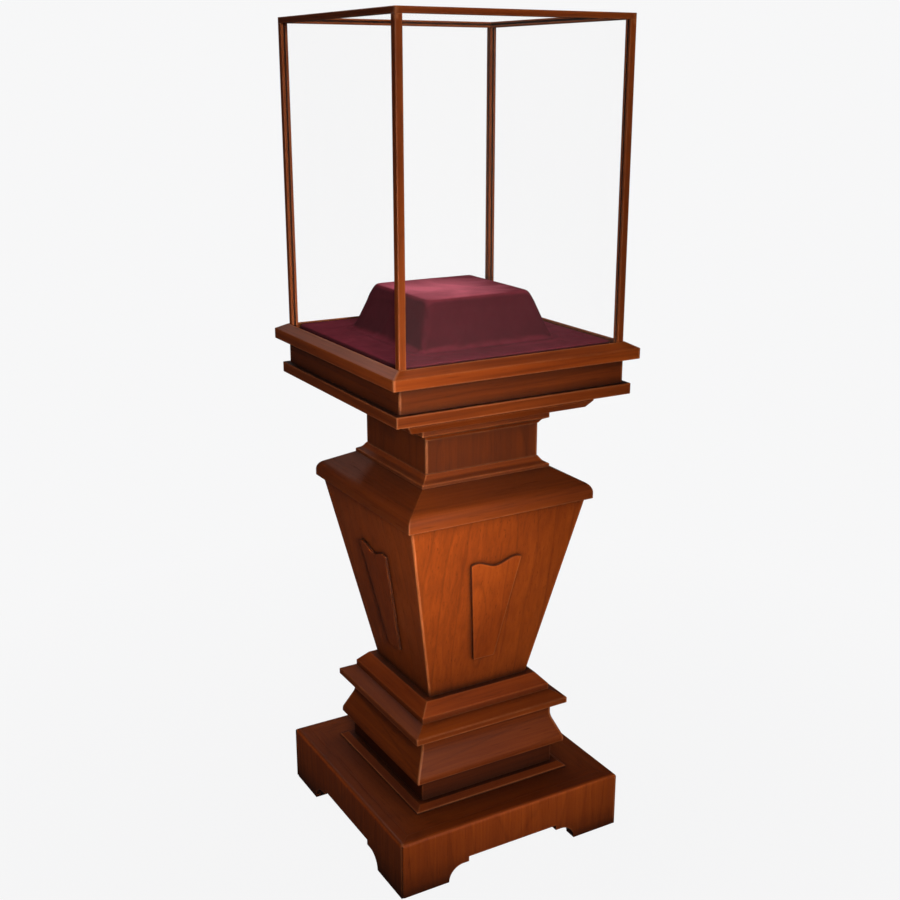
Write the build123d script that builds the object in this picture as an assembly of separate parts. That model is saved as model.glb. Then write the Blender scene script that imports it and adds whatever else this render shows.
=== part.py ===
from build123d import *
import os
from math import atan, cos, sin

# Museum display pedestal in polished hardwood, square in plan. A tapered body stands on a
# moulded plinth with bracket feet and carries a narrow neck and a wide table. A frame hood
# of slim posts and rails, glazed with clear acrylic, drops into a channel round a display
# pad with a velvet-covered mound, and lifts straight off.
# Millimetres, +Z up. The origin is on the floor at the middle of the base, and the front
# faces -Y. Half-widths are measured from the vertical axis to the middle of a side.

# ---- driving dimensions ----
TOTAL_HEIGHT = 1500.0
EDGE = 1.4                 # softened arris on exposed wood

BASE_HALF = 235.0          # bracket-footed base
BASE_TOP = 110.0
BASE_BOARD = 24.0
BASE_EDGE = 7.0
BASE_CORNER = 7.0
CORNER_BLOCK = 46.0
ARCH_STEP_HALF = 96.0      # raised middle stretch of the apron cut-out
ARCH_STEP_HEIGHT = 40.0
ARCH_HALF = 108.0          # centre of the quarter-round beside each foot
ARCH_RADIUS = 30.0

STEP_HALF = 165.0          # thin bevelled board on the base
STEP_TOP = 120.0
STEP_TOP_HALF = 153.0
STEP_LIP = 2.2
STEP_EDGE = 0.8
CORE_HALF = 143.0          # plain recess under the flared skirt
CORE_TOP = 166.0
SKIRT_FOOT_HALF = 160.7    # flared skirt
SKIRT_TOP_HALF = 141.0
SKIRT_FLARE_FOOT = 175.7
SKIRT_FLARE_FOOT_ROUND = 22.0
SKIRT_FLARE_HEAD = 219.3
SKIRT_FLARE_HEAD_ROUND = 36.0
SKIRT_TOP = 249.0
SKIRT_BACK_HALF = 118.0
LIP_HALF = 163.7           # projecting lip over the skirt
LIP_EDGE_TOP = 261.0
LIP_TOP = 273.5
LIP_EDGE = 2.5
SEAT_HALF = 137.7          # sloped seat under the body
SEAT_EDGE_TOP = 285.0
SEAT_EDGE = 1.8
SEAT_TOP_HALF = 118.5
SEAT_TOP = 306.0

BODY_FOOT_HALF = 105.8     # tapered body
BODY_HEAD_HALF = 179.6
BODY_TOP = 668.0
BODY_CORNER = 2.2
PANEL = 20.0
BULKHEAD = 18.0
BULKHEAD_CORNER = 0.5
SHIELD_TOP_HALF = 52.0     # raised shield on each face of the body
SHIELD_FOOT_HALF = 22.0
SHIELD_LENGTH = 210.0
SHIELD_HEAD_HEIGHT = 576.0
SHIELD_DEPTH = 5.0
SHIELD_HUMP = 3.0
SHIELD_HUMP_SPREAD = 0.78  # place of each hump as a share of the half-width
SHIELD_DIP = 9.0
SHIELD_EDGE = 1.1

SHOULDER_HALF = 189.5      # rounded shoulder board
SHOULDER_EDGE_TOP = 692.1
SHOULDER_TOP = 722.5
SHOULDER_ROUND = 21.0
NECK_FOOT_HALF = 131.5     # neck with a moulding at each end
NECK_FOOT_EDGE_TOP = 728.5
NECK_FOOT_COVE_HALF = 122.0
NECK_FOOT_COVE = 733.5
NECK_FOOT_COVE_ROUND = 10.0
NECK_FOOT_TOP = 742.0
NECK_HALF = 115.5
NECK_TOP = 804.0
NECK_BOARD = 18.0
NECK_MARGIN = 0.7          # mouldings stand this proud of the neck boards
NECK_CAP_COVE_HALF = 120.5
NECK_CAP_COVE = 810.5
NECK_CAP_COVE_ROUND = 8.0
NECK_CAP_HALF = 130.3
NECK_CAP_EDGE_FOOT = 815.0
NECK_CAP_TOP = 838.7

BED_FOOT_HALF = 175.4      # chamfered board under the table
BED_HALF = 186.0
BED_EDGE = 852.0
BED_TOP = 868.3
CORNICE_HALF = 231.0       # projecting board
CORNICE_TOP = 888.0
FRIEZE_HALF = 220.8        # upright frieze
FRIEZE_TOP = 932.0
FRIEZE_BOARD = 18.0
FRIEZE_CORNER = 2.0
DECK_TOP = 944.0           # deck board that carries the pad and the hood
RIM_HALF = 241.0           # sloped rim round the deck
RIM_INNER_HALF = 221.0
RIM_EDGE_TOP = 951.0
RIM_TOP = 961.5
RIM_INNER_EDGE = 0.6

PAD_BOARD_HALF = 203.6     # display pad
PAD_BOARD_TOP = 958.4
VELVET = 3.1
VELVET_HALF = 207.0
VELVET_TOP = 961.5
MOUND_FOOT_HALF = 134.0
MOUND_HEAD_HALF = 103.0
MOUND_TOP = 1045.0
MOUND_CORNER = 13.0
MOUND_EDGE = 9.0
MOUND_COVE = 13.0
VELVET_INNER_EDGE = 0.6    # velvet's rounding over the pad board's own edge

POST = 12.5                # hood frame
RAIL = 10.0                # height of its top rails
HOOD_HALF = 220.0
HOOD_CORNER = 1.2
HOOD_EDGE = 1.0
PANE = 3.0
PANE_CLEARANCE = 0.2
PANE_FOOT_GAP = 0.5
GROOVE_DEPTH = 4.0
DOWEL_RADIUS = 2.0
DOWEL_LENGTH = 16.0
DOWEL_INSET = 3.5

SCREW_RADIUS = 2.0         # screws through the deck board into the frieze
SCREW_LENGTH = 32.0
SCREW_HEAD_RADIUS = 4.2
SCREW_HEAD = 3.0
SCREW_SPREAD = 110.0

# ---- derived dimensions ----
FAR = 2 * TOTAL_HEIGHT
BODY_SLOPE = (BODY_HEAD_HALF - BODY_FOOT_HALF) / (BODY_TOP - SEAT_TOP)
BODY_LEAN = atan(BODY_SLOPE)
PANEL_WALL = PANEL / cos(BODY_LEAN)
HOOD_INNER_HALF = HOOD_HALF - POST
RAIL_FOOT = TOTAL_HEIGHT - RAIL
PANE_HALF = HOOD_HALF - POST / 2
PANE_REACH = HOOD_INNER_HALF + GROOVE_DEPTH - PANE_CLEARANCE
TOP_PANE_MIDDLE = TOTAL_HEIGHT - RAIL / 2 + PANE_CLEARANCE
TURNS = {"front": 0, "right": 90, "back": 180, "left": 270}
CORNER_TURNS = {"front_left": 0, "front_right": 90, "back_right": 180, "back_left": 270}

parts = {}


# ---- shared shapes ----
def section(*corners):
    """Closed face from (distance, height, rounding) corners, in the local XY plane."""
    points = [(distance, height) for distance, height, _ in corners]
    rounding = [radius for _, _, radius in corners]
    return make_face(FilletPolyline(*points, radius=rounding, close=True))


def wedge():
    """Everything in front of the two vertical diagonal planes through the axis."""
    triangle = Polygon((0, 0), (-FAR, -FAR), (FAR, -FAR), align=None)
    return extrude(triangle, FAR)


def mitred_rail(*corners):
    """Front side of a square frame: the section runs along X and ends in mitres."""
    face = Plane.YZ * section(*((-distance, height, radius) for distance, height, radius in corners))
    return extrude(face, FAR / 2, both=True) & wedge()


def rounded_column(half, radius, foot, head, head_half=None):
    """Square column or tapered block between two heights with rounded upright edges."""
    head_half = head_half or half
    lower = Pos(0, 0, foot) * RectangleRounded(2 * half, 2 * half, radius)
    upper = Pos(0, 0, head) * RectangleRounded(2 * head_half, 2 * head_half, radius)
    return loft([lower, upper])


def block(half_x, half_y, foot, head):
    """Upright box centred on the axis."""
    return Pos(0, 0, (foot + head) / 2) * Box(2 * half_x, 2 * half_y, head - foot)


def turned(shape, angle):
    return Rot(0, 0, angle) * shape


def moulded_board(*edge_corners):
    """Square board with one edge section on all four sides; the corners list runs up the edge."""
    foot = edge_corners[0][1]
    head = edge_corners[-1][1]
    quarter = mitred_rail((0, foot, 0), *edge_corners, (0, head, 0))
    board = quarter
    for angle in (90, 180, 270):
        board += turned(quarter, angle)
    return board


def add_sides(name, front_piece):
    """The same piece on all four sides, one node each."""
    for side, angle in TURNS.items():
        parts[f"{name}_{side}"] = turned(front_piece, angle)


# ---- base with bracket feet ----
def apron():
    """Apron of the base, rounded along its top edge, with the cut-out that leaves a foot at each end."""
    inner = BASE_HALF - BASE_BOARD
    board = mitred_rail(
        (BASE_HALF, 0, 0),
        (BASE_HALF, BASE_TOP, BASE_EDGE),
        (inner, BASE_TOP, 0),
        (inner, 0, 0),
    )
    board &= rounded_column(BASE_HALF, BASE_CORNER, -BASE_EDGE, BASE_TOP + BASE_EDGE)
    arch = Rectangle(2 * ARCH_STEP_HALF, 2 * ARCH_STEP_HEIGHT)
    arch += Rectangle(2 * ARCH_HALF, 2 * ARCH_RADIUS)
    for side in (-1, 1):
        arch += Pos(side * ARCH_HALF, 0) * Circle(ARCH_RADIUS)
    return board - extrude(Plane.XZ * arch, 2 * BASE_HALF)


def base_board():
    """Top board of the base, let in flush between the aprons."""
    inner = BASE_HALF - BASE_BOARD
    return block(inner, inner, BASE_TOP - BASE_BOARD, BASE_TOP)


def corner_blocks():
    """Load-bearing blocks glued into the inner corners of the base."""
    middle = BASE_HALF - BASE_BOARD - CORNER_BLOCK / 2
    height = BASE_TOP - BASE_BOARD
    corner = Pos(-middle, -middle, height / 2) * Box(CORNER_BLOCK, CORNER_BLOCK, height)
    return Compound(children=[turned(corner, angle) for angle in CORNER_TURNS.values()])


add_sides("base_apron", apron())
parts["base_board"] = base_board()
parts["base_corner_blocks"] = corner_blocks()

# ---- plinth mouldings ----
parts["plinth_step"] = moulded_board(
    (STEP_HALF, BASE_TOP, 0),
    (STEP_HALF, BASE_TOP + STEP_LIP, STEP_EDGE),
    (STEP_TOP_HALF, STEP_TOP, STEP_EDGE),
)
parts["plinth_core"] = rounded_column(CORE_HALF, EDGE, STEP_TOP, CORE_TOP)
add_sides("plinth_skirt", mitred_rail(
    (SKIRT_BACK_HALF, CORE_TOP, 0),
    (SKIRT_FOOT_HALF, CORE_TOP, EDGE),
    (SKIRT_FOOT_HALF, SKIRT_FLARE_FOOT, SKIRT_FLARE_FOOT_ROUND),
    (SKIRT_TOP_HALF, SKIRT_FLARE_HEAD, SKIRT_FLARE_HEAD_ROUND),
    (SKIRT_TOP_HALF, SKIRT_TOP, 0),
    (SKIRT_BACK_HALF, SKIRT_TOP, 0),
))
parts["plinth_lip"] = moulded_board(
    (LIP_HALF, SKIRT_TOP, EDGE),
    (LIP_HALF, LIP_EDGE_TOP, LIP_EDGE),
    (SEAT_HALF, LIP_TOP, 0),
)
parts["plinth_seat"] = moulded_board(
    (SEAT_HALF, LIP_TOP, 0),
    (SEAT_HALF, SEAT_EDGE_TOP, SEAT_EDGE),
    (SEAT_TOP_HALF, SEAT_TOP, SEAT_EDGE),
)


# ---- tapered body ----
def body_half(height):
    return BODY_FOOT_HALF + BODY_SLOPE * (height - SEAT_TOP)


def body_panel():
    board = mitred_rail(
        (BODY_FOOT_HALF, SEAT_TOP, 0),
        (BODY_HEAD_HALF, BODY_TOP, 0),
        (BODY_HEAD_HALF - PANEL_WALL, BODY_TOP, 0),
        (BODY_FOOT_HALF - PANEL_WALL, SEAT_TOP, 0),
    )
    return board & rounded_column(BODY_FOOT_HALF, BODY_CORNER, SEAT_TOP, BODY_TOP, BODY_HEAD_HALF)


def bulkhead(foot, head):
    """Square board that closes the hollow body between its panels."""
    foot_half = body_half(foot) - PANEL_WALL
    head_half = body_half(head) - PANEL_WALL
    return rounded_column(foot_half, BULKHEAD_CORNER, foot, head, head_half)


def shield():
    """Raised shield on the front panel: two humps and a dip on top, straight tapering sides."""
    face_plane = Plane(
        origin=(0, -body_half(SHIELD_HEAD_HEIGHT), SHIELD_HEAD_HEIGHT),
        x_dir=(1, 0, 0),
        z_dir=(0, -cos(BODY_LEAN), -sin(BODY_LEAN)),
    )
    hump = SHIELD_HUMP_SPREAD * SHIELD_TOP_HALF
    shoulder = (SHIELD_HUMP - SHIELD_DIP) / 2
    head = Spline(
        (-SHIELD_TOP_HALF, 0),
        (-hump, SHIELD_HUMP),
        (-hump / 2, shoulder),
        (0, -SHIELD_DIP),
        (hump / 2, shoulder),
        (hump, SHIELD_HUMP),
        (SHIELD_TOP_HALF, 0),
    )
    sides = Polyline(
        head @ 1,
        (SHIELD_FOOT_HALF, -SHIELD_LENGTH),
        (-SHIELD_FOOT_HALF, -SHIELD_LENGTH),
        head @ 0,
    )
    plate = extrude(face_plane * make_face([head, sides]), SHIELD_DEPTH)
    outer_face = plate.faces().sort_by(Axis.Y)[0]
    return fillet(outer_face.edges(), SHIELD_EDGE)


add_sides("body_panel", body_panel())
add_sides("body_shield", shield())
parts["body_floor"] = bulkhead(SEAT_TOP, SEAT_TOP + BULKHEAD)
parts["body_ceiling"] = bulkhead(BODY_TOP - BULKHEAD, BODY_TOP)

# ---- shoulder and neck ----
parts["shoulder_board"] = moulded_board(
    (SHOULDER_HALF, BODY_TOP, EDGE),
    (SHOULDER_HALF, SHOULDER_EDGE_TOP, SHOULDER_ROUND),
    (NECK_FOOT_HALF, SHOULDER_TOP, 0),
)
parts["neck_foot"] = moulded_board(
    (NECK_FOOT_HALF, SHOULDER_TOP, 0),
    (NECK_FOOT_HALF, NECK_FOOT_EDGE_TOP, EDGE),
    (NECK_FOOT_COVE_HALF, NECK_FOOT_COVE, NECK_FOOT_COVE_ROUND),
    (NECK_HALF + NECK_MARGIN, NECK_FOOT_TOP, 0),
)
neck_board = mitred_rail(
    (NECK_HALF, NECK_FOOT_TOP, 0),
    (NECK_HALF, NECK_TOP, 0),
    (NECK_HALF - NECK_BOARD, NECK_TOP, 0),
    (NECK_HALF - NECK_BOARD, NECK_FOOT_TOP, 0),
)
add_sides("neck_board", neck_board & rounded_column(NECK_HALF, BODY_CORNER, NECK_FOOT_TOP, NECK_TOP))
parts["neck_cap"] = moulded_board(
    (NECK_HALF + NECK_MARGIN, NECK_TOP, 0),
    (NECK_CAP_COVE_HALF, NECK_CAP_COVE, NECK_CAP_COVE_ROUND),
    (NECK_CAP_HALF, NECK_CAP_EDGE_FOOT, EDGE),
    (NECK_CAP_HALF, NECK_CAP_TOP, 0),
)

# ---- table: bed board, cornice, frieze, deck and rim ----
parts["bed_board"] = moulded_board(
    (BED_FOOT_HALF, NECK_CAP_TOP, EDGE),
    (BED_HALF, BED_EDGE, EDGE),
    (BED_HALF, BED_TOP, 0),
)
parts["cornice_board"] = moulded_board(
    (CORNICE_HALF, BED_TOP, EDGE),
    (CORNICE_HALF, CORNICE_TOP, EDGE),
)


def deck_screws():
    """Countersunk screws, two on each side, flush with the deck board."""
    shank = Cylinder(SCREW_RADIUS, SCREW_LENGTH, align=(Align.CENTER, Align.CENTER, Align.MAX))
    head = Cylinder(SCREW_HEAD_RADIUS, SCREW_HEAD, align=(Align.CENTER, Align.CENTER, Align.MAX))
    screw = shank + head
    offset = FRIEZE_HALF - FRIEZE_BOARD / 2
    pair = [Pos(side * SCREW_SPREAD, -offset, DECK_TOP) * screw for side in (-1, 1)]
    return [turned(one, angle) for angle in TURNS.values() for one in pair]


screws = deck_screws()
frieze = mitred_rail(
    (FRIEZE_HALF, CORNICE_TOP, 0),
    (FRIEZE_HALF, FRIEZE_TOP, 0),
    (FRIEZE_HALF - FRIEZE_BOARD, FRIEZE_TOP, 0),
    (FRIEZE_HALF - FRIEZE_BOARD, CORNICE_TOP, 0),
) & rounded_column(FRIEZE_HALF, FRIEZE_CORNER, CORNICE_TOP, FRIEZE_TOP)
add_sides("frieze", frieze - screws[0] - screws[1])

deck = block(RIM_INNER_HALF, RIM_INNER_HALF, FRIEZE_TOP, DECK_TOP)
for screw in screws:
    deck -= screw
parts["deck_board"] = deck
parts["deck_screws"] = Compound(children=screws)
add_sides("rim", mitred_rail(
    (RIM_INNER_HALF, FRIEZE_TOP, 0),
    (RIM_HALF, FRIEZE_TOP, EDGE),
    (RIM_HALF, RIM_EDGE_TOP, EDGE),
    (RIM_INNER_HALF, RIM_TOP, RIM_INNER_EDGE),
))


# ---- display pad ----
def mound(margin, corner):
    """Tapered block of the display mound, set in by a margin on its sides and top."""
    slope = (MOUND_FOOT_HALF - MOUND_HEAD_HALF) / (MOUND_TOP - VELVET_TOP)
    foot = PAD_BOARD_TOP
    head = MOUND_TOP - margin
    foot_half = MOUND_FOOT_HALF - margin + slope * (VELVET_TOP - foot)
    head_half = MOUND_HEAD_HALF - margin + slope * margin
    solid = rounded_column(foot_half, corner, foot, head, head_half)
    return fillet(solid.faces().sort_by(Axis.Z)[-1].edges(), MOUND_EDGE - margin)


def velvet():
    """Velvet over the mound and the pad board, turned down to the deck at the edges."""
    slab = rounded_column(VELVET_HALF, VELVET, DECK_TOP, VELVET_TOP)
    slab = fillet(slab.faces().sort_by(Axis.Z)[-1].edges(), VELVET - VELVET_INNER_EDGE)
    cover = slab + mound(0, MOUND_CORNER)
    joint_edges = [
        edge for edge in cover.edges().filter_by_position(Axis.Z, VELVET_TOP - 0.01, VELVET_TOP + 0.01)
        if max(abs(edge.center().X), abs(edge.center().Y)) < MOUND_FOOT_HALF + 1
    ]
    cover = fillet(joint_edges, MOUND_COVE)
    return cover - parts["pad_board"] - parts["mound_block"]


parts["pad_board"] = block(PAD_BOARD_HALF, PAD_BOARD_HALF, DECK_TOP, PAD_BOARD_TOP)
parts["mound_block"] = mound(VELVET, MOUND_CORNER - VELVET)
parts["velvet_cover"] = velvet()


# ---- hood ----
def pane_groove():
    """Slot for an upright pane on the front side, as wide as the pane plus its clearance."""
    half_slot = PANE / 2 + PANE_CLEARANCE
    reach = HOOD_INNER_HALF + GROOVE_DEPTH
    slot = Box(2 * reach, 2 * half_slot, RAIL_FOOT + GROOVE_DEPTH - DECK_TOP)
    return Pos(0, -PANE_HALF, (RAIL_FOOT + GROOVE_DEPTH + DECK_TOP) / 2) * slot


def top_groove():
    half_slot = PANE / 2 + PANE_CLEARANCE
    reach = HOOD_INNER_HALF + GROOVE_DEPTH
    return block(reach, reach, TOP_PANE_MIDDLE - half_slot, TOP_PANE_MIDDLE + half_slot)


def corner_dowel():
    inset = HOOD_HALF - DOWEL_INSET
    dowel = Cylinder(DOWEL_RADIUS, DOWEL_LENGTH)
    return Pos(-inset, -inset, RAIL_FOOT) * dowel


def hood_post():
    middle = HOOD_HALF - POST / 2
    height = RAIL_FOOT - DECK_TOP
    post = Pos(-middle, -middle, DECK_TOP + height / 2) * Box(POST, POST, height)
    outer_edge = post.edges().filter_by(Axis.Z).sort_by(lambda edge: edge.center().X + edge.center().Y)[0]
    post = fillet(outer_edge, HOOD_CORNER)
    return post - pane_groove() - turned(pane_groove(), 270) - corner_dowel()


def hood_rail():
    rail = mitred_rail(
        (HOOD_HALF, RAIL_FOOT, 0),
        (HOOD_HALF, TOTAL_HEIGHT, HOOD_EDGE),
        (HOOD_INNER_HALF, TOTAL_HEIGHT, 0),
        (HOOD_INNER_HALF, RAIL_FOOT, 0),
    ) & rounded_column(HOOD_HALF, HOOD_CORNER, RAIL_FOOT - RAIL, TOTAL_HEIGHT + RAIL)
    return rail - pane_groove() - top_groove() - corner_dowel() - turned(corner_dowel(), 90)


def hood_pane():
    foot = DECK_TOP + PANE_FOOT_GAP
    head = RAIL_FOOT + GROOVE_DEPTH - PANE_CLEARANCE
    return Pos(0, -PANE_HALF, (foot + head) / 2) * Box(2 * PANE_REACH, PANE, head - foot)


post = hood_post()
for corner, angle in CORNER_TURNS.items():
    parts[f"hood_post_{corner}"] = turned(post, angle)
add_sides("hood_rail", hood_rail())
add_sides("hood_pane", hood_pane())
top_pane_foot = TOP_PANE_MIDDLE - PANE / 2
parts["hood_top_pane"] = block(PANE_REACH, PANE_REACH, top_pane_foot, top_pane_foot + PANE)
parts["hood_corner_dowels"] = Compound(children=[turned(corner_dowel(), angle) for angle in TURNS.values()])

# ---- one STEP file per node ----
os.makedirs("parts", exist_ok=True)
for name, shape in parts.items():
    export_step(shape, f"parts/{name}.step")
print(len(parts), "nodes")
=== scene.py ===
"""Looks of the museum display pedestal: varnished mahogany, brass screws, clear acrylic and velvet.

Every CAD node keeps its shape and gets a procedural material. The velvet cover is replaced by a
cloth of its own, simulated over the pad and the mound. Units are metres.
"""

import math

import bmesh
import bpy
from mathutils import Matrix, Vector


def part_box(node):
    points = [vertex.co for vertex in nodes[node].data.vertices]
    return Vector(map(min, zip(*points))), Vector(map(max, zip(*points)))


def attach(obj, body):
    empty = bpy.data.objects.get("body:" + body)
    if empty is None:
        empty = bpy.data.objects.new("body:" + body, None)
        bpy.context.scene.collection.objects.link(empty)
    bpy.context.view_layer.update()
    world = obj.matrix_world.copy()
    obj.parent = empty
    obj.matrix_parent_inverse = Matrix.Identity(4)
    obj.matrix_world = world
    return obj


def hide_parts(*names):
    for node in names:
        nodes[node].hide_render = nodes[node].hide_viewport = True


# ---- camera: 30 degrees round to the left of the front, looking 17 degrees down ----
CAMERA_PLACE = (-1.0859, -1.8820, 1.4040)
CAMERA_LOOK = (0.4775, 0.8284, -0.2927)
LENS_MM = 49.0
SENSOR_MM = 36.0

# ---- stage ----
BACKDROP = (0.93, 0.93, 0.935)
WORLD_TINT = (0.98, 0.94, 1.0)
WORLD_STRENGTH = 0.040
FLOOR_HALF = 14.0
FLOOR_WHITE = (0.9, 0.9, 0.9)
FLOOR_SHARE = 0.03         # how much of the floor's own light and shade shows near the object
FADE_NEAR = 0.45           # where the floor starts and ends fading into the backdrop
FADE_FAR = 1.5

# ---- lamps ----
NEUTRAL = (1.0, 1.0, 1.0)
WARM = (1.0, 0.95, 0.88)
WARMER = (1.0, 0.94, 0.84)
WARMEST = (1.0, 0.93, 0.82)
ROSE = (1.0, 0.94, 0.98)
HALF_SPACE = 180.0         # spread of a lamp that lights all that is in front of it, in degrees
LAMPS = (
    # name, place, target, width and height, watts, spread, colour
    ("key_light", (-0.62, -1.50, 1.05), (-0.18, -0.15, 0.70), (0.45, 0.45), 3.75, 50.0, WARMER),
    ("corner_light", (-0.50, -1.62, 0.98), (-0.14, -0.17, 0.58), (0.16, 0.16), 0.27, 17.0, WARMEST),
    ("front_fill", (0.3, -3.2, 1.5), (0.0, 0.0, 0.7), (1.6, 1.6), 1.3, HALF_SPACE, WARM),
    ("low_fill", (0.2, -1.9, 0.45), (0.0, 0.0, 0.05), (0.6, 0.4), 0.74, 50.0, WARMER),
    ("hood_light", (-0.7, -2.6, 1.95), (0.0, 0.0, 1.58), (0.7, 0.7), 1.8, 27.0, WARMEST),
    ("side_light", (-2.6, -0.9, 1.5), (0.0, 0.0, 0.7), (1.2, 1.8), 1.35, HALF_SPACE, ROSE),
    ("right_light", (2.5, 0.2, 0.5), (0.0, 0.0, 0.65), (1.2, 1.0), 9.0, HALF_SPACE, WARM),
    ("rear_light", (0.5, 2.7, 0.5), (0.0, 0.0, 0.65), (1.6, 1.0), 16.0, HALF_SPACE, WARM),
    ("back_light", (-0.1, 2.6, 2.9), (-0.2, 0.0, 0.95), (1.4, 0.3), 10.0, HALF_SPACE, NEUTRAL),
    ("top_light", (0.0, 0.1, 2.6), (0.0, 0.0, 1.0), (0.4, 0.4), 7.0, HALF_SPACE, NEUTRAL),
)
UNMIRRORED_LAMPS = ("right_light", "rear_light")  # light the back without a gloss on the level tops

# ---- velvet cloth ----
CLOTH_CELL = 0.0075        # spacing of the cloth's grid
CLOTH_THICKNESS = 0.0015
CLOTH_MARGIN = 0.0006      # kept clear of the hood's posts
CLOTH_SLACK = 0.012        # share by which the cloth is longer than what it covers
MOST_SETTLING = 0.005      # furthest that a point of the cloth may move as it settles
SETTLE_FRAMES = 24
MOUND_TAPER = 0.7687       # width of the mound's top as a share of its foot
CORNER_POWER = 17.0        # how square the mound is in plan
TOP_SOFTNESS = 0.013       # height over which the bend at the mound's top is rounded, and at its foot
FOOT_SOFTNESS = 0.020
STEEPEST_CELL = 2.6        # slope past which the grid's cells get no shorter in plan
SLOPE_PROBE = 0.001        # step over which that slope is measured
EDGE_ROLL = 0.0045         # rounding where the cloth turns down at the rim
EDGE_ROWS = 6
EDGE_BEND_ROWS = 3
ON_THE_EDGE = 1e-6         # a point this near the grid's outline is on it
HOLD_FROM = 0.90           # shares of the half-width between which the hold on the cloth grows to full
HOLD_FULLY = 0.97
HOLD_TOP = 0.25            # how firmly the mound's top is held, and then the rest of the cloth
HOLD_FREE = 0.04
TOP_BAND = 0.002           # a point this near the mound's top is on it
BOARD_SKIN = 0.001         # gap that the boards keep from the cloth
BOARD_FRICTION = 20.0
CLOTH_SETTINGS = {
    "quality": 6,
    "mass": 0.35,
    "tension_stiffness": 20.0,
    "compression_stiffness": 20.0,
    "shear_stiffness": 8.0,
    "bending_stiffness": 0.9,
    "air_damping": 4.0,
    "shrink_min": -CLOTH_SLACK,
    "shrink_max": -CLOTH_SLACK,
    "vertex_group_mass": "held",
    "pin_stiffness": 1.0,
}

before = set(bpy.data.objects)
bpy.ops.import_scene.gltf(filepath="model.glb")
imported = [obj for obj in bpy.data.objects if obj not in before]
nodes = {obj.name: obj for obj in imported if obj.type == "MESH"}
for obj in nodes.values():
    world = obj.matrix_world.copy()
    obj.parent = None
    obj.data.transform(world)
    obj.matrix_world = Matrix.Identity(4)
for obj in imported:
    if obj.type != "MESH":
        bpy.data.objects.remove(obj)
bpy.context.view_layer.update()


# ---- node helpers ----
class Graph:
    """Short way to build one material's node tree."""

    def __init__(self, name):
        self.material = bpy.data.materials.new(name)
        self.material.use_nodes = True
        self.tree = self.material.node_tree
        self.tree.nodes.clear()
        self.out = self.tree.nodes.new("ShaderNodeOutputMaterial")
        self.shader = self.tree.nodes.new("ShaderNodeBsdfPrincipled")
        self.tree.links.new(self.shader.outputs[0], self.out.inputs["Surface"])

    def node(self, kind, **settings):
        made = self.tree.nodes.new(kind)
        for key, value in settings.items():
            setattr(made, key, value)
        return made

    def feed(self, socket, value):
        if isinstance(value, bpy.types.NodeSocket):
            self.tree.links.new(value, socket)
        elif value is not None:
            socket.default_value = value

    def math(self, operation, a, b=None, c=None, clamp=False):
        made = self.node("ShaderNodeMath", operation=operation, use_clamp=clamp)
        for socket, value in zip(made.inputs, (a, b, c)):
            self.feed(socket, value)
        return made.outputs[0]

    def vector(self, x, y, z):
        made = self.node("ShaderNodeCombineXYZ")
        for socket, value in zip(made.inputs, (x, y, z)):
            self.feed(socket, value)
        return made.outputs[0]

    def split(self, value):
        made = self.node("ShaderNodeSeparateXYZ")
        self.feed(made.inputs[0], value)
        return made.outputs[0], made.outputs[1], made.outputs[2]

    def remap(self, value, low, high, to_low=0.0, to_high=1.0):
        made = self.node("ShaderNodeMapRange", clamp=True)
        for socket, number in zip(made.inputs, (value, low, high, to_low, to_high)):
            self.feed(socket, number)
        return made.outputs[0]

    def noise(self, place, scale, detail=4.0, roughness=0.5, distortion=0.0):
        made = self.node("ShaderNodeTexNoise")
        self.feed(made.inputs["Vector"], place)
        for key, value in (("Scale", scale), ("Detail", detail), ("Roughness", roughness),
                           ("Distortion", distortion)):
            self.feed(made.inputs[key], value)
        return made.outputs["Fac"]

    def ramp(self, value, stops):
        made = self.node("ShaderNodeValToRGB")
        self.feed(made.inputs[0], value)
        points = made.color_ramp.elements
        while len(points) < len(stops):
            points.new(1.0)
        for point, (position, colour) in zip(points, stops):
            point.position = position
            point.color = (*colour, 1.0)
        return made.outputs[0]

    def mix(self, share, a, b, blend="MIX"):
        made = self.node("ShaderNodeMix", data_type="RGBA", blend_type=blend)
        self.feed(made.inputs["Factor"], share)
        for socket, value in ((made.inputs[6], a), (made.inputs[7], b)):
            self.feed(socket, value if isinstance(value, bpy.types.NodeSocket) else (*value, 1.0))
        return made.outputs[2]

    def bump(self, height, strength, distance, under=None):
        made = self.node("ShaderNodeBump")
        self.feed(made.inputs["Height"], height)
        self.feed(made.inputs["Strength"], strength)
        self.feed(made.inputs["Distance"], distance)
        self.feed(made.inputs["Normal"], under)
        return made.outputs[0]

    def openness(self, reach, low, high, alone=False, inside=False):
        """0 in a crevice to 1 on an open surface, looking as far as reach.

        alone leaves out the other pieces, and inside looks into the solid: then 0 is its arris.
        """
        made = self.node("ShaderNodeAmbientOcclusion", samples=4, only_local=alone, inside=inside)
        made.inputs["Distance"].default_value = reach
        return self.remap(made.outputs["AO"], low, high)

    def upward(self):
        """How far the surface looks up, from the object's own normal."""
        return self.split(self.node("ShaderNodeTexCoord").outputs["Normal"])[2]

    def stretch(self, place, along, across):
        made = self.node("ShaderNodeMapping", vector_type="POINT")
        self.feed(made.inputs["Vector"], place)
        made.inputs["Scale"].default_value = (along, across, across)
        return made.outputs[0]

    def blend(self, share, a, b):
        """Number a at share 0 to number b at share 1."""
        return self.math("MULTIPLY_ADD", share, self.math("SUBTRACT", b, a), a)

    def object_place(self):
        return self.node("ShaderNodeTexCoord").outputs["Object"]

    def set(self, **values):
        for key, value in values.items():
            self.feed(self.shader.inputs[key.replace("_", " ")], value)


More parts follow.
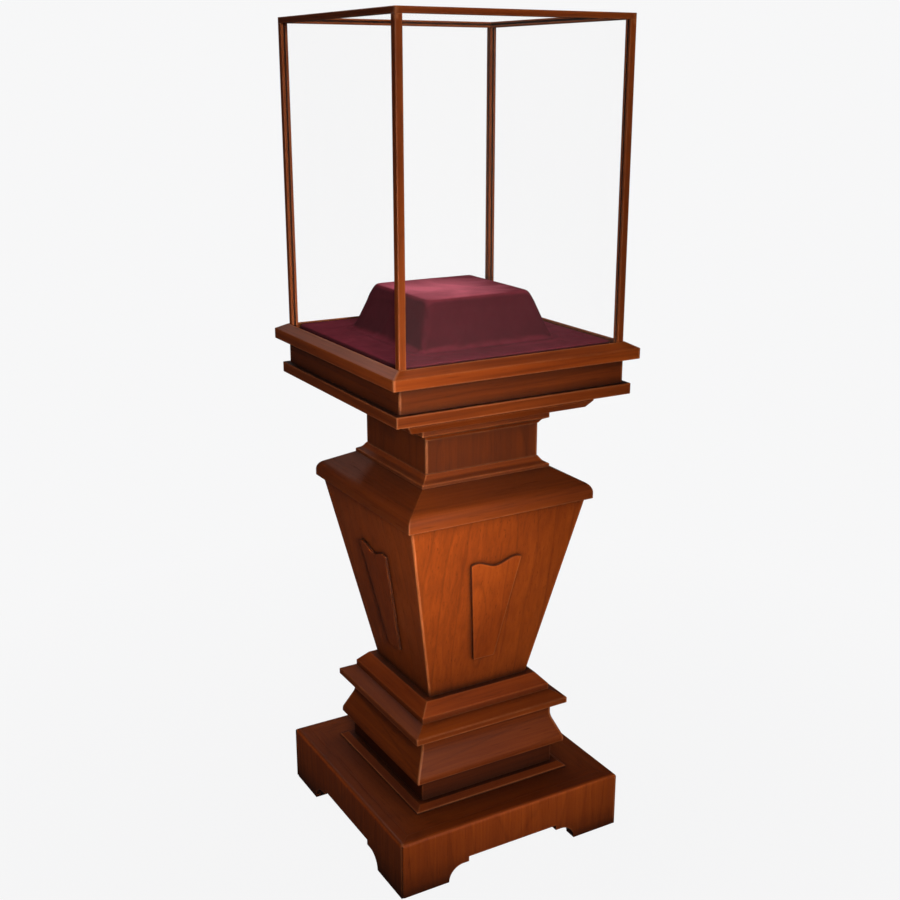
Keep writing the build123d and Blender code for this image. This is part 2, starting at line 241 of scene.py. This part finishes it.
# ---- varnished mahogany ----
TONES = {
    "deep": (0.075, 0.0120, 0.0018),
    "dark": (0.185, 0.0300, 0.0036),
    "middle": (0.310, 0.0540, 0.0060),
    "light": (0.470, 0.0900, 0.0100),
    # pale tone for the arrises: wear together with a painted highlight
    "worn_and_highlit": (0.600, 0.205, 0.080),
    # the next two tones are painted shade: creases and corners, then overhangs and the base's top
    "crevice": (0.014, 0.0030, 0.0010),
    "painted_shade": (0.030, 0.0070, 0.0022),
}
STREAK_STRENGTH = {"upright": 0.46, "level": 0.66, "apron": 0.46}
TOP_SEED = 2.0             # the base's top reads as one board, whatever piece it is on
TOP_SHADE = 0.46           # painted shade: the base's top darker against its sides
MIDDLE_VALUE = 0.555       # place of an average spot on the ramp of tones
DRIFT_STRENGTH = 0.45
RING_STRENGTH = 0.10
RING_LINE_STRENGTH = 0.55
PORE_STRENGTH = 0.50
SEAM_STRENGTH = 0.7
SEAM_HALF = 0.0004         # the mitre line's half-width, and where it has faded out
SEAM_FADED = 0.0009
BOARD_STEP = (3.17, 1.31, 0.73)  # along, across and into the board, for each step of its number

# growth rings of a log whose heart passes the board's face at a slant
RINGS_PER_METRE = 26.0
HEART_SLANT = 0.20
HEART_WANDER = 0.075
RING_WANDER = 0.9
PEAK_FIRST = 0.42          # height of the arches' peaks, which differs from board to board
PEAK_STEP = 0.05
HEART_SHIFT = 0.013        # sideways step of the heart from board to board
RING_PALEST = 0.82         # share of a ring's width by which it is palest
RING_LATE = 0.86           # its dark line starts here, is darkest at the next and ends with the ring
RING_DARKEST = 0.95

# painted shade round corners and under overhangs, and the painted highlight with wear on arrises: how
# far each looks, and the openness where it is full and where it ends
CREASE = (0.020, 0.40, 0.94)
CORNER = (0.055, 0.36, 0.96)
BROAD = (0.26, 0.24, 0.86)
ARRIS = (0.0034, 0.56, 0.88)
CREASE_SHADE = 0.96
CASED_CREASE_SHADE = 0.40
CORNER_SHADE = 0.82
BROAD_SHADE = 0.82
ARRIS_ROUND = 0.0022       # radius by which the normals soften every arris


def board_axes(g, lay):
    """(along the grain, across the face, out of the face, top) for a board, from object coordinates.

    Level boards follow the side of the square that they are on, as mitred lengths do. An apron's
    grain is upright on its face and level on its top, and top is 1 there.
    """
    x, y, z = g.split(g.object_place())
    beside = g.math("GREATER_THAN", g.math("ABSOLUTE", x), g.math("ABSOLUTE", y))
    face = g.blend(beside, x, y)
    depth = g.blend(beside, y, x)
    if lay == "level":
        return face, z, depth, None
    if lay == "upright":
        return z, face, depth, None
    top = g.remap(g.upward(), 0.60, 0.80)
    return g.blend(top, z, face), g.blend(top, face, z), depth, top


def mitre_seam(g):
    """1 on the thin dark line where two mitred lengths meet."""
    x, y, _ = g.split(g.object_place())
    off = g.math("ABSOLUTE", g.math("SUBTRACT", g.math("ABSOLUTE", x), g.math("ABSOLUTE", y)))
    return g.remap(off, SEAM_HALF, SEAM_FADED, 1.0, 0.0)


def growth_rings(g, place, along, across, seed):
    """0 to 1 over each ring of a log that was cut at a slant, so that the rings close into arches."""
    wander = g.noise(g.stretch(place, 1.0, 5.0), 2.6, 2.0, 0.5, 0.15)
    peak = PEAK_FIRST + PEAK_STEP * (seed % 4)
    heart = g.math("MULTIPLY_ADD", along, HEART_SLANT, -HEART_SLANT * peak - HEART_WANDER / 2)
    heart = g.math("MULTIPLY_ADD", wander, HEART_WANDER, heart)
    offset = g.math("ADD", across, HEART_SHIFT * (seed % 5 - 2))
    radius = g.math("SQRT", g.math("ADD", g.math("POWER", offset, 2.0), g.math("POWER", heart, 2.0)))
    return g.math("FRACT", g.math("MULTIPLY_ADD", wander, RING_WANDER,
                                  g.math("MULTIPLY", radius, RINGS_PER_METRE)))


def grain_place(g, along, across, depth, number):
    """Coordinates in the board, moved along by its number so that no two boards share a grain."""
    moved = [g.math("MULTIPLY_ADD", number, step, axis)
             for step, axis in zip(BOARD_STEP, (along, across, depth))]
    return g.vector(*moved)


def figured_tone(g, place, rings, figure, strength, streaks, pores):
    """Colour of fresh varnished mahogany, from its drift, streaks, rings and pores."""
    ring_shape = g.math("MULTIPLY", g.remap(rings, 0.0, RING_PALEST),
                        g.remap(rings, RING_LATE, 1.0, 1.0, 0.0))
    ring_line = g.math("MULTIPLY", g.remap(rings, RING_LATE, RING_DARKEST),
                       g.remap(rings, RING_DARKEST, 1.0, 1.0, 0.0))
    drift = g.noise(place, 3.2, 2.0, 0.5)
    start = MIDDLE_VALUE - strength / 2 - DRIFT_STRENGTH / 2
    value = g.math("MULTIPLY_ADD", streaks, strength, start)
    value = g.math("MULTIPLY_ADD", drift, DRIFT_STRENGTH, value)
    value = g.math("MULTIPLY_ADD", ring_shape, RING_STRENGTH * figure, value)
    tone = g.ramp(value, (
        (0.16, TONES["deep"]),
        (0.36, TONES["dark"]),
        (0.55, TONES["middle"]),
        (0.80, TONES["light"]),
    ))
    tone = g.mix(g.math("MULTIPLY", pores, PORE_STRENGTH), tone, TONES["deep"])
    return g.mix(g.math("MULTIPLY", ring_line, RING_LINE_STRENGTH * figure), tone, TONES["deep"])


def wood(name, seed, lay, figure, shade, redness, rub, mitred, cased):
    """Varnished mahogany.

    figure is how strongly the growth rings show, shade is painted light and shade that sets the piece's
    brightness, rub is how far the arrises are lightened by wear and a painted highlight, and cased is
    for pieces beside the clear panes, which must not count as walls that shade them.
    """
    g = Graph(name)
    along, across, depth, top = board_axes(g, lay)
    number = seed if top is None else g.blend(top, float(seed), TOP_SEED)
    place = grain_place(g, along, across, depth, number)
    rings = growth_rings(g, place, along, across, seed)
    streaks = g.noise(g.stretch(place, 2.4, 120.0), 1.0, 4.0, 0.60, 0.5)
    fine = g.noise(g.stretch(place, 16.0, 420.0), 1.0, 3.0, 0.6, 0.2)
    pores = g.remap(fine, 0.60, 0.70)
    tone = figured_tone(g, place, rings, figure, STREAK_STRENGTH[lay], streaks, pores)
    if mitred:
        tone = g.mix(g.math("MULTIPLY", mitre_seam(g), SEAM_STRENGTH), tone, TONES["deep"])
    # painted light and shade: each piece's brightness is scaled by its shade
    tone = g.mix(1.0, tone, (shade, shade * redness, shade * redness), "MULTIPLY")
    if top is not None:
        # painted shade: the base's top is darker than its sides
        tone = g.mix(g.math("MULTIPLY", top, 1 - TOP_SHADE), tone, TONES["painted_shade"])

    # Painted shade: the colour darkens in creases, in corners and under overhangs, and the arrises are
    # lightened by wear together with a painted highlight.
    crease = g.openness(*CREASE, alone=cased)
    corner = g.openness(*CORNER, alone=cased)
    broad = g.openness(*BROAD, alone=cased)
    crease_shade = CASED_CREASE_SHADE if cased else CREASE_SHADE
    tone = g.mix(g.remap(broad, 0.0, 1.0, BROAD_SHADE, 0.0), tone, TONES["painted_shade"])
    tone = g.mix(g.remap(corner, 0.0, 1.0, CORNER_SHADE, 0.0), tone, TONES["crevice"])
    tone = g.mix(g.remap(crease, 0.0, 1.0, crease_shade, 0.0), tone, TONES["crevice"])
    # The arrises are lightened by wear together with a painted highlight.
    arris = g.remap(g.openness(*ARRIS, alone=True, inside=True), 0.0, 1.0, 1.0, 0.0)
    patchy = g.remap(g.noise(place, 26.0, 3.0, 0.6), 0.30, 0.62, 0.45, 1.0)
    wear_and_highlight = g.math("MULTIPLY", g.math("MULTIPLY", arris, patchy), g.remap(crease, 0.60, 0.98))
    if top is not None:
        wear_and_highlight = g.math("MULTIPLY", wear_and_highlight, g.remap(g.upward(), 0.90, 0.99, 1.0, 0.0))
    tone = g.mix(g.math("MULTIPLY", wear_and_highlight, rub), tone, TONES["worn_and_highlit"])

    soft = g.node("ShaderNodeBevel", samples=6)
    soft.inputs["Radius"].default_value = ARRIS_ROUND
    smear = g.noise(place, 11.0, 4.0, 0.6)
    rough = g.math("MULTIPLY_ADD", smear, 0.14, g.math("MULTIPLY_ADD", pores, 0.12, 0.36))
    rough = g.math("ADD", rough, g.remap(broad, 0.0, 1.0, 0.30, 0.0))
    grain_height = g.math("MULTIPLY_ADD", fine, 0.6, g.math("MULTIPLY", streaks, 0.4))
    relief = g.bump(grain_height, 0.22, 0.0006, soft.outputs[0])
    g.set(Base_Color=tone, Roughness=rough, Normal=relief, IOR=1.48, Specular_IOR_Level=0.18,
          Coat_Weight=0.04, Coat_Roughness=0.22, Coat_IOR=1.5)
    return g.material


# ---- other materials ----
def clear_acrylic():
    """Clear cast sheet: almost all light goes through, with a faint gloss and a few fine rub marks."""
    g = Graph("clear_acrylic")
    haze = g.noise(g.object_place(), 9.0, 4.0, 0.6)
    g.set(Base_Color=g.mix(haze, (0.80, 0.84, 0.84), (0.86, 0.88, 0.88)),
          Roughness=g.math("MULTIPLY_ADD", haze, 0.04, 0.02), IOR=1.49, Alpha=0.007)
    return g.material


def brass():
    g = Graph("brass_screws")
    place = g.object_place()
    tarnish = g.noise(place, 220.0, 4.0, 0.6)
    turning = g.noise(place, 900.0, 2.0, 0.5)
    g.set(Base_Color=g.ramp(tarnish, ((0.3, (0.30, 0.19, 0.06)), (0.7, (0.72, 0.52, 0.22)))),
          Metallic=1.0, Roughness=g.remap(tarnish, 0.2, 0.8, 0.45, 0.22),
          Normal=g.bump(turning, 0.15, 0.0002))
    return g.material


def hidden_wood():
    """Plain unvarnished board inside the carcass."""
    g = Graph("hidden_board")
    grain = g.noise(g.stretch(g.object_place(), 2.0, 45.0), 1.0, 5.0, 0.6, 0.5)
    g.set(Base_Color=g.ramp(grain, ((0.25, (0.16, 0.075, 0.035)), (0.75, (0.36, 0.20, 0.105)))),
          Roughness=g.remap(grain, 0.2, 0.8, 0.62, 0.78), Normal=g.bump(grain, 0.2, 0.0005))
    return g.material


VELVET_TONES = {
    "shaded": (0.130, 0.0110, 0.0225),
    "even": (0.200, 0.0190, 0.0365),
    "lit": (0.280, 0.0310, 0.0560),
    "between": (0.070, 0.008, 0.016),
    # painted shade on the mound's slopes
    "painted_slope_shade": (0.038, 0.0024, 0.0062),
    # painted highlight on a patch of the mound's top
    "top_highlight": (0.98, 0.210, 0.300),
    "crevice": (0.030, 0.0035, 0.0075),
}
TOP_HIGHLIGHT_PLACE = (-0.042, -0.010)  # middle of the painted highlight, beside the middle of the mound's top
TOP_HIGHLIGHT_INNER = 0.105      # distances between which the patch fades, with the nap's drift added
TOP_HIGHLIGHT_OUTER = 0.235
TOP_HIGHLIGHT_DRIFT = 0.18
TOP_HIGHLIGHT_DEPTH = (0.022, 0.008)  # the patch fades in between these depths below the top
TOP_HIGHLIGHT_FACING = (0.85, 0.99)  # and as the surface turns from the one to the other, 1 being level
TOP_HIGHLIGHT_SHARE = 0.95
SLOPE_FACING = (0.45, 0.94)  # facings where the painted shade on the slopes is full and where it ends
SLOPE_SHADE = 0.80
FOLD = (0.07, 0.35, 0.95)  # shade in the folds, given as for CREASE


def velvet():
    """Plum cotton velvet: a dense short pile that leans in patches, with painted shade on the mound's
    slopes and a painted highlight on its top.
    """
    g = Graph("plum_velvet")
    place = g.object_place()
    nap = g.noise(place, 7.5, 3.0, 0.55, 0.8)
    crush = g.noise(place, 34.0, 4.0, 0.65, 0.6)
    pile = g.noise(place, 1500.0, 2.0, 0.7)
    weave = g.node("ShaderNodeTexVoronoi", feature="F1")
    g.feed(weave.inputs["Vector"], place)
    weave.inputs["Scale"].default_value = 900.0
    lean = g.math("MULTIPLY_ADD", crush, 0.45, g.math("MULTIPLY", nap, 0.55))
    tone = g.ramp(lean, (
        (0.30, VELVET_TONES["shaded"]),
        (0.50, VELVET_TONES["even"]),
        (0.72, VELVET_TONES["lit"]),
    ))
    tone = g.mix(g.remap(pile, 0.35, 0.65, 0.0, 0.35), tone, VELVET_TONES["between"])

    # Painted shade darkens the mound's slopes, and a painted highlight lightens a patch of its top.
    _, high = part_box("velvet_cover")
    _, _, height = g.split(place)
    facing = g.upward()
    # painted shade: the mound's slopes are darkened by how they face
    tone = g.mix(g.remap(facing, *SLOPE_FACING, SLOPE_SHADE, 0.0), tone, VELVET_TONES["painted_slope_shade"])
    # painted highlight: a patch of the mound's top is lightened
    away = g.node("ShaderNodeVectorMath", operation="DISTANCE")
    g.feed(away.inputs[0], place)
    away.inputs[1].default_value = (*TOP_HIGHLIGHT_PLACE, high.z)
    ragged = g.math("MULTIPLY_ADD", nap, TOP_HIGHLIGHT_DRIFT, away.outputs["Value"])
    patch = g.remap(ragged, TOP_HIGHLIGHT_INNER, TOP_HIGHLIGHT_OUTER, 1.0, 0.0)
    deep, shallow = TOP_HIGHLIGHT_DEPTH
    top_highlight = g.math("MULTIPLY", g.remap(height, high.z - deep, high.z - shallow), patch)
    top_highlight = g.math("MULTIPLY", top_highlight, g.remap(facing, *TOP_HIGHLIGHT_FACING))
    tone = g.mix(g.math("MULTIPLY", top_highlight, TOP_HIGHLIGHT_SHARE), tone, VELVET_TONES["top_highlight"])
    tone = g.mix(g.openness(*FOLD, alone=True), VELVET_TONES["crevice"], tone)

    relief_height = g.math("MULTIPLY_ADD", weave.outputs["Distance"], 0.4, g.math("MULTIPLY", pile, 0.6))
    relief = g.bump(relief_height, 0.35, 0.0008, g.bump(crush, 0.25, 0.003))
    g.set(Base_Color=tone, Roughness=g.remap(lean, 0.3, 0.7, 0.92, 0.78), Normal=relief,
          Specular_IOR_Level=0.02, Sheen_Weight=0.05, Sheen_Roughness=0.42,
          Sheen_Tint=(0.90, 0.16, 0.28, 1.0))
    return g.material


# ---- materials on the CAD nodes ----
FAMILIES = (
    # node prefix, grain, rings, shade (painted light and shade), redness, rubbed arrises (wear and a
    # painted highlight), mitre line, beside the panes
    ("base_apron", "apron", 0.35, 1.12, 0.98, 0.50, False, False),
    ("base_board", "apron", 0.35, 1.12, 0.98, 0.00, False, False),
    ("plinth_step", "level", 0.20, 0.56, 0.95, 0.70, True, False),
    ("plinth_core", "level", 0.20, 0.34, 0.95, 0.40, False, False),
    ("plinth_skirt", "level", 0.45, 0.50, 0.97, 0.45, False, False),
    ("plinth_lip", "level", 0.45, 0.48, 1.00, 0.90, True, False),
    ("plinth_seat", "level", 0.30, 0.56, 0.95, 0.75, True, False),
    ("body_panel", "upright", 0.55, 0.52, 1.00, 0.38, False, False),
    ("body_shield", "upright", 0.45, 0.53, 0.98, 0.12, False, False),
    ("shoulder_board", "level", 0.35, 0.31, 0.98, 0.40, True, False),
    ("neck_foot", "level", 0.30, 0.50, 0.98, 0.80, True, False),
    ("neck_board", "upright", 0.55, 0.31, 1.00, 0.38, False, False),
    ("neck_cap", "level", 0.30, 0.45, 0.98, 0.60, True, False),
    ("bed_board", "level", 0.30, 0.45, 0.98, 0.60, True, False),
    ("cornice_board", "level", 0.45, 0.38, 1.00, 0.60, True, False),
    ("frieze", "level", 0.60, 0.35, 0.98, 0.38, False, False),
    ("rim", "level", 0.50, 0.62, 1.00, 0.50, False, True),
    ("hood_post", "upright", 0.30, 0.60, 1.02, 0.40, False, True),
    ("hood_rail", "level", 0.30, 0.55, 1.02, 0.30, False, True),
)
HIDDEN = ("base_corner_blocks", "body_floor", "body_ceiling", "deck_board", "pad_board", "mound_block",
          "hood_corner_dowels")


def dress(node, material):
    node.data.materials.clear()
    node.data.materials.append(material)


def dress_nodes():
    plain = hidden_wood()
    glass = clear_acrylic()
    for name in HIDDEN:
        dress(nodes[name], plain)
    for name, node in sorted(nodes.items()):
        if name.startswith("hood_pane") or name == "hood_top_pane":
            dress(node, glass)
    dress(nodes["deck_screws"], brass())
    for seed, (prefix, *finish) in enumerate(FAMILIES, start=1):
        family = sorted(name for name in nodes if name.startswith(prefix))
        for place, name in enumerate(family):
            dress(nodes[name], wood(f"wood_{name}", seed + 5 * place, *finish))


# ---- velvet cover ----
def soft_min(a, b, width):
    share = min(max(0.5 + 0.5 * (b - a) / width, 0.0), 1.0)
    return b + (a - b) * share - width * share * (1 - share)


def soft_max(a, b, width):
    return -soft_min(-a, -b, width)


def smooth_step(value, low, high):
    share = min(max((value - low) / (high - low), 0.0), 1.0)
    return share * share * (3 - 2 * share)


class CoverShape:
    """Outer surface of the cover: a flat pad with a tapered mound, both from the CAD solids' boxes."""

    def __init__(self):
        _, cover_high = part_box("velvet_cover")
        _, block_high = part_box("mound_block")
        board_low, board_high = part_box("pad_board")
        self.skin = cover_high.z - block_high.z
        self.half = cover_high.x - CLOTH_MARGIN
        self.foot = board_low.z
        self.pad = board_high.z + self.skin
        self.top = cover_high.z
        self.mound_foot = block_high.x + self.skin
        self.mound_head = self.mound_foot * MOUND_TAPER
        self.slope = (self.top - self.pad) / (self.mound_foot - self.mound_head)

    def height(self, x, y):
        ring = (abs(x) ** CORNER_POWER + abs(y) ** CORNER_POWER) ** (1 / CORNER_POWER)
        side = self.pad + (self.mound_foot - ring) * self.slope
        mound = soft_min(self.top, side, TOP_SOFTNESS)
        return soft_max(self.pad, mound, FOOT_SOFTNESS)

    def grid_lines(self):
        """Distances from the middle, evenly spaced along the cloth in the mid-section."""
        lines = [0.0]
        reach = self.half - EDGE_ROLL
        while lines[-1] < reach:
            here = lines[-1]
            fall = abs(self.height(here + SLOPE_PROBE, 0.0) - self.height(here, 0.0)) / SLOPE_PROBE
            lines.append(here + CLOTH_CELL / math.hypot(1.0, min(fall, STEEPEST_CELL)))
        stretch = reach / lines[-1]
        lines = [line * stretch for line in lines]
        return [-line for line in reversed(lines[1:])] + lines

    def flat_size(self):
        """Side of the square blank, and the area of its cover: pad, mound and turned-down edge."""
        rise = self.top - self.pad
        run = self.mound_foot - self.mound_head
        slant = math.hypot(rise, run)
        hem = self.pad - self.foot
        width = 2 * (self.half + slant - run + hem)
        area = 4 * (self.half ** 2 - self.mound_foot ** 2 + self.mound_head ** 2)
        area += 4 * (self.mound_foot + self.mound_head) * slant + 8 * self.half * hem
        return width, area


def edge_ring(grid):
    """The grid's outermost points, in order round the cloth."""
    last = len(grid) - 1
    ring = [grid[i][0] for i in range(last)] + [grid[last][j] for j in range(last)]
    ring += [grid[i][last] for i in range(last, 0, -1)] + [grid[0][j] for j in range(last, 0, -1)]
    return ring


def edge_point(place, reach, out, down):
    """A point of the cloth's edge moved outwards from its side, or from both sides at a corner."""
    side_x = (place.x > reach - ON_THE_EDGE) - (place.x < -reach + ON_THE_EDGE)
    side_y = (place.y > reach - ON_THE_EDGE) - (place.y < -reach + ON_THE_EDGE)
    share = math.sqrt(0.5) if side_x and side_y else 1.0
    return place.x + side_x * out * share, place.y + side_y * out * share, place.z - down


def turn_down_edge(cloth, ring, reach, shape):
    """Rows that roll over at the edge and then run straight down to the deck board."""
    count = len(ring)
    above = ring
    for step in range(1, EDGE_ROWS + 1):
        turn = min(step / EDGE_BEND_ROWS, 1.0) * math.pi / 2
        out = EDGE_ROLL * math.sin(turn)
        down = EDGE_ROLL * (1 - math.cos(turn))
        straight = max(step - EDGE_BEND_ROWS, 0) / (EDGE_ROWS - EDGE_BEND_ROWS)
        down += straight * (shape.pad - EDGE_ROLL - shape.foot - CLOTH_THICKNESS)
        below = [cloth.verts.new(edge_point(vert.co, reach, out, down)) for vert in ring]
        for k in range(count):
            after = (k + 1) % count
            cloth.faces.new((above[k], below[k], below[after], above[after]))
        above = below


def flat_cover(shape):
    """Cloth mesh in the shape of the cover, with its edge turned down to the deck board."""
    lines = shape.grid_lines()
    cloth = bmesh.new()
    grid = [[cloth.verts.new((x, y, shape.height(x, y))) for y in lines] for x in lines]
    for row, next_row in zip(grid, grid[1:]):
        for j in range(len(lines) - 1):
            cloth.faces.new((row[j], next_row[j], next_row[j + 1], row[j + 1]))
    turn_down_edge(cloth, edge_ring(grid), lines[-1], shape)
    bmesh.ops.recalc_face_normals(cloth, faces=cloth.faces)
    mesh = bpy.data.meshes.new("velvet_cloth")
    cloth.to_mesh(mesh)
    cloth.free()
    return mesh


def hold(cover, shape):
    """Holds the cloth firmly along its edge, lightly on the mound's top and hardly elsewhere."""
    held = cover.vertex_groups.new(name="held")
    for vert in cover.data.vertices:
        edge = max(abs(vert.co.x), abs(vert.co.y)) / shape.half
        on_top = vert.co.z > shape.top - TOP_BAND
        share = smooth_step(edge, HOLD_FROM, HOLD_FULLY)
        held.add([vert.index], max(share, HOLD_TOP if on_top else HOLD_FREE), "REPLACE")


def collider(name):
    board = bpy.data.objects.new(f"collider_{name}", nodes[name].data.copy())
    bpy.context.scene.collection.objects.link(board)
    board.modifiers.new("collision", "COLLISION")
    board.collision.thickness_outer = BOARD_SKIN
    board.collision.cloth_friction = BOARD_FRICTION
    return board


def keep_close(mesh, rest, shape):
    """Limits how far each point has settled, and keeps it inside the rim and above the deck."""
    for vert, start in zip(mesh.vertices, rest):
        move = vert.co - start
        if move.length > MOST_SETTLING:
            move = move.normalized() * MOST_SETTLING
        vert.co = start + move
        vert.co.x = min(max(vert.co.x, -shape.half), shape.half)
        vert.co.y = min(max(vert.co.y, -shape.half), shape.half)
        vert.co.z = max(vert.co.z, shape.foot + CLOTH_THICKNESS)


def settle(cover, shape):
    """Lets the slack cloth settle over the pad board and the mound, and keeps the settled mesh."""
    scene = bpy.context.scene
    rest = [Vector(vert.co) for vert in cover.data.vertices]
    hold(cover, shape)
    boards = [collider(name) for name in ("pad_board", "mound_block")]
    cloth = cover.modifiers.new("cloth", "CLOTH")
    for key, value in CLOTH_SETTINGS.items():
        setattr(cloth.settings, key, value)
    cloth.collision_settings.distance_min = shape.skin - CLOTH_THICKNESS
    cloth.collision_settings.use_self_collision = False
    scene.frame_start = 1
    scene.frame_end = SETTLE_FRAMES
    for frame_number in range(1, SETTLE_FRAMES + 1):
        scene.frame_set(frame_number)
    graph = bpy.context.evaluated_depsgraph_get()
    settled = bpy.data.meshes.new_from_object(cover.evaluated_get(graph))
    cover.modifiers.clear()
    cover.vertex_groups.clear()
    for board in boards:
        bpy.data.objects.remove(board)
    keep_close(settled, rest, shape)
    cover.data = settled
    scene.frame_set(1)


def velvet_cover():
    """One cloth over the pad board and the mound, tucked down inside the rim."""
    shape = CoverShape()
    cover = bpy.data.objects.new("velvet_cloth", flat_cover(shape))
    bpy.context.scene.collection.objects.link(cover)
    settle(cover, shape)
    dress(cover, velvet())
    for face in cover.data.polygons:
        face.use_smooth = True
    finer = cover.modifiers.new("finer", "SUBSURF")
    finer.levels = 1
    finer.render_levels = 1
    thick = cover.modifiers.new("thick", "SOLIDIFY")
    thick.thickness = CLOTH_THICKNESS
    thick.offset = -1.0
    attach(cover, "pedestal")
    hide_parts("velvet_cover")
    width, cut = shape.flat_size()


dress_nodes()
velvet_cover()


# ---- stage, light and camera ----
def aim(thing, target):
    direction = Vector(target) - thing.location
    thing.rotation_euler = direction.to_track_quat("-Z", "Y").to_euler()


def softbox(name, place, target, size, power, spread, colour):
    data = bpy.data.lights.new(name, "AREA")
    data.shape = "RECTANGLE"
    data.size, data.size_y = size
    data.energy = power
    data.spread = math.radians(spread)
    data.color = colour
    lamp = bpy.data.objects.new(name, data)
    lamp.location = place
    lamp.visible_glossy = name not in UNMIRRORED_LAMPS
    bpy.context.scene.collection.objects.link(lamp)
    aim(lamp, target)


def floor():
    """Plain pale floor that fades into the backdrop away from the object."""
    mesh = bpy.data.meshes.new("floor")
    shell = bmesh.new()
    bmesh.ops.create_grid(shell, x_segments=8, y_segments=8, size=FLOOR_HALF)
    shell.to_mesh(mesh)
    shell.free()
    ground = bpy.data.objects.new("floor", mesh)
    bpy.context.scene.collection.objects.link(ground)
    g = Graph("pale_floor")
    x, y, _ = g.split(g.object_place())
    distance = g.math("SQRT", g.math("ADD", g.math("POWER", x, 2.0), g.math("POWER", y, 2.0)))
    near = g.remap(distance, FADE_NEAR, FADE_FAR, FLOOR_SHARE, 0.0)
    plain = g.node("ShaderNodeEmission")
    plain.inputs["Color"].default_value = (*BACKDROP, 1.0)
    matt = g.node("ShaderNodeBsdfDiffuse")
    matt.inputs["Color"].default_value = (*FLOOR_WHITE, 1.0)
    both = g.node("ShaderNodeMixShader")
    g.feed(both.inputs[0], near)
    g.feed(both.inputs[1], plain.outputs[0])
    g.feed(both.inputs[2], matt.outputs[0])
    g.feed(g.out.inputs["Surface"], both.outputs[0])
    g.tree.nodes.remove(g.shader)
    mesh.materials.append(g.material)
    ground.visible_diffuse = False
    ground.visible_glossy = False


def backdrop_light():
    """The backdrop's white is what the camera sees; what lights the object is softer."""
    world = bpy.data.worlds.new("studio")
    world.use_nodes = True
    bpy.context.scene.world = world
    tree = world.node_tree
    tree.nodes.clear()
    out = tree.nodes.new("ShaderNodeOutputWorld")
    seen = tree.nodes.new("ShaderNodeBackground")
    seen.inputs["Color"].default_value = (*BACKDROP, 1.0)
    glow = tree.nodes.new("ShaderNodeBackground")
    glow.inputs["Color"].default_value = (*WORLD_TINT, 1.0)
    glow.inputs["Strength"].default_value = WORLD_STRENGTH
    rays = tree.nodes.new("ShaderNodeLightPath")
    both = tree.nodes.new("ShaderNodeMixShader")
    tree.links.new(rays.outputs["Is Camera Ray"], both.inputs[0])
    tree.links.new(glow.outputs[0], both.inputs[1])
    tree.links.new(seen.outputs[0], both.inputs[2])
    tree.links.new(both.outputs[0], out.inputs["Surface"])


def camera():
    data = bpy.data.cameras.new("camera")
    data.lens = LENS_MM
    data.sensor_width = SENSOR_MM
    eye = bpy.data.objects.new("camera", data)
    eye.location = CAMERA_PLACE
    eye.rotation_euler = Vector(CAMERA_LOOK).to_track_quat("-Z", "Y").to_euler()
    bpy.context.scene.collection.objects.link(eye)
    bpy.context.scene.camera = eye


floor()
backdrop_light()
for lamp_row in LAMPS:
    softbox(*lamp_row)
camera()
bpy.context.scene.view_settings.view_transform = "Standard"
bpy.context.scene.view_settings.look = "None"
